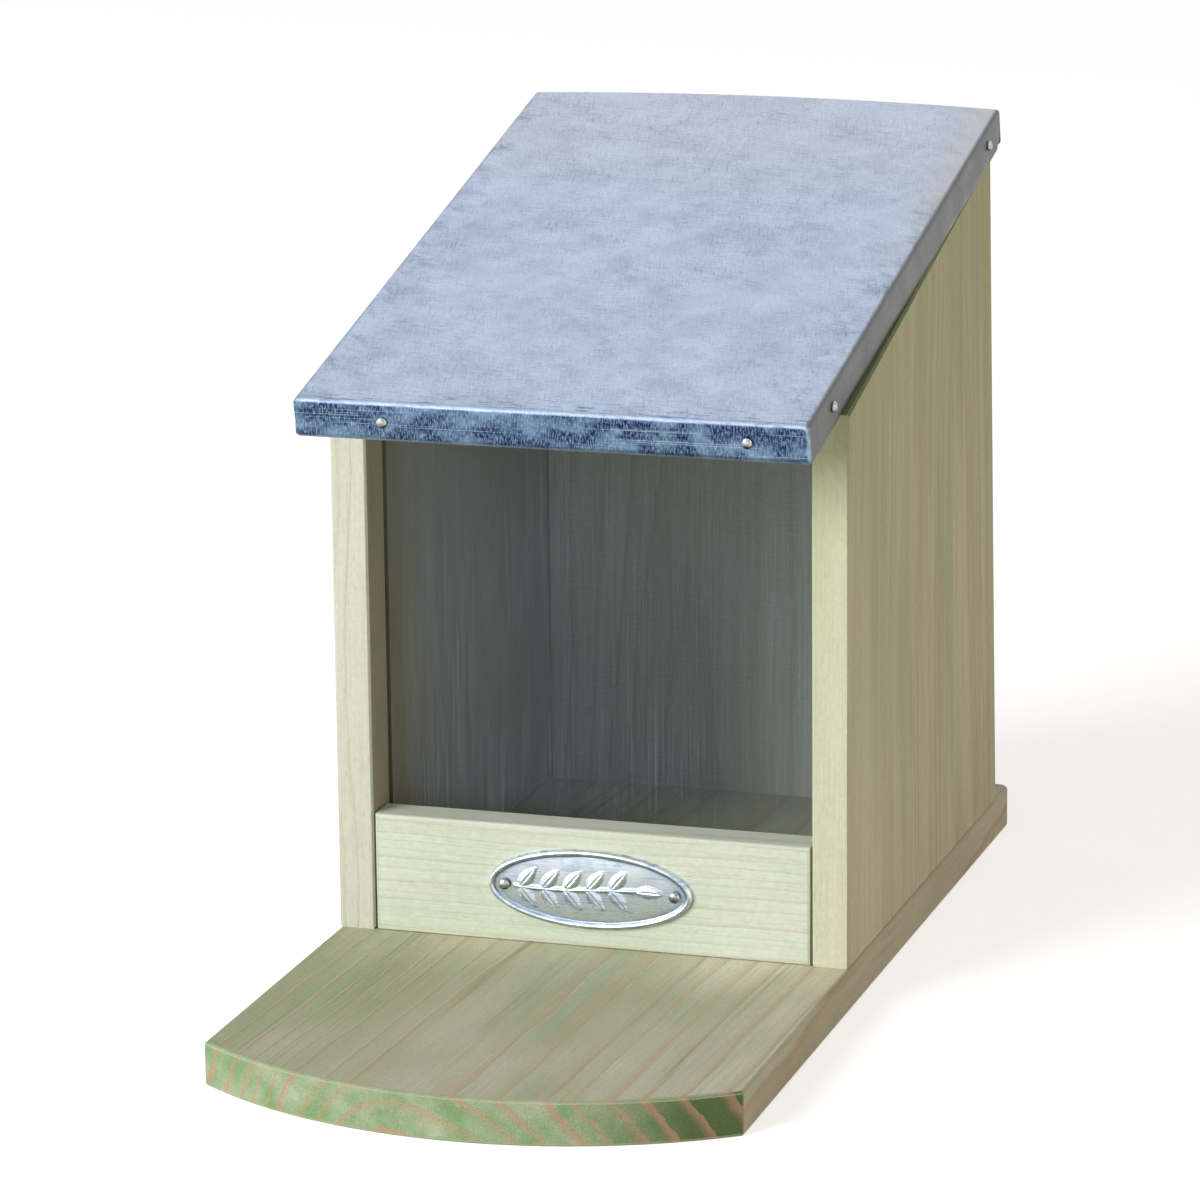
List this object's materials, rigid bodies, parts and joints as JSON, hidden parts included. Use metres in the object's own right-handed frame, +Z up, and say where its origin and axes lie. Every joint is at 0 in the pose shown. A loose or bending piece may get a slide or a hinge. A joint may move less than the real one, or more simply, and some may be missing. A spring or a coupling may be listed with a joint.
{
  "type": "squirrel feeder box",
  "caption": "Wooden feeder box with a clear front pane, a low front rail, a base board running out to a curved feeding shelf, and a hinged sloping lid clad in folded sheet metal.",
  "frame": {"origin": "on the base board's underside, below the middle of the box", "axes": "+Z up, -Y the open front with the shelf, +X to the right seen from the front"},
  "size_m": [0.12, 0.26, 0.1814],
  "materials": {
    "pine": "pressure-treated pine, sawn and sanded, pale green cast",
    "base_pine": "pressure-treated pine, grey-green with tan grain",
    "lid_pine": "plain sawn pine",
    "clear_acrylic": "clear, lightly scratched",
    "galvanised_sheet": "dull mottled zinc coat",
    "pressed_plate": "bright pressed sheet",
    "nail_steel": "bright domed heads",
    "plated_steel": "zinc plated"
  },
  "bodies": {
    "box": {"base_board": "base_pine", "left_side_panel": "pine", "right_side_panel": "pine", "back_panel": "pine", "front_rail": "pine", "window_pane": "clear_acrylic", "name_plate": "pressed_plate", "plate_nail_left": "nail_steel", "plate_nail_right": "nail_steel", "left_panel_screw_front": "plated_steel", "left_panel_screw_rear": "plated_steel", "right_panel_screw_front": "plated_steel", "right_panel_screw_rear": "plated_steel", "rail_screw_left": "plated_steel", "rail_screw_right": "plated_steel", "back_screw_left": "plated_steel", "back_screw_right": "plated_steel", "left_hinge_box_leaf": "plated_steel", "left_hinge_pin": "plated_steel", "left_hinge_box_screw_inner": "plated_steel", "left_hinge_box_screw_outer": "plated_steel", "right_hinge_box_leaf": "plated_steel", "right_hinge_pin": "plated_steel", "right_hinge_box_screw_inner": "plated_steel", "right_hinge_box_screw_outer": "plated_steel"},
    "lid": {"lid_board": "lid_pine", "roof_cover": "galvanised_sheet", "roof_nail_front_left": "nail_steel", "roof_nail_front_right": "nail_steel", "roof_nail_left_front": "nail_steel", "roof_nail_left_rear": "nail_steel", "roof_nail_right_front": "nail_steel", "roof_nail_right_rear": "nail_steel", "left_hinge_lid_leaf": "plated_steel", "left_hinge_lid_screw_inner": "plated_steel", "left_hinge_lid_screw_outer": "plated_steel", "right_hinge_lid_leaf": "plated_steel", "right_hinge_lid_screw_inner": "plated_steel", "right_hinge_lid_screw_outer": "plated_steel"}
  },
  "joints": [
    {"name": "lid_hinge", "type": "hinge", "parent": "box", "child": "lid", "pos_m": [0, 0.0723, 0.16791], "axis": [-1, 0, 0], "range_deg": [0, 110]}
  ]
}
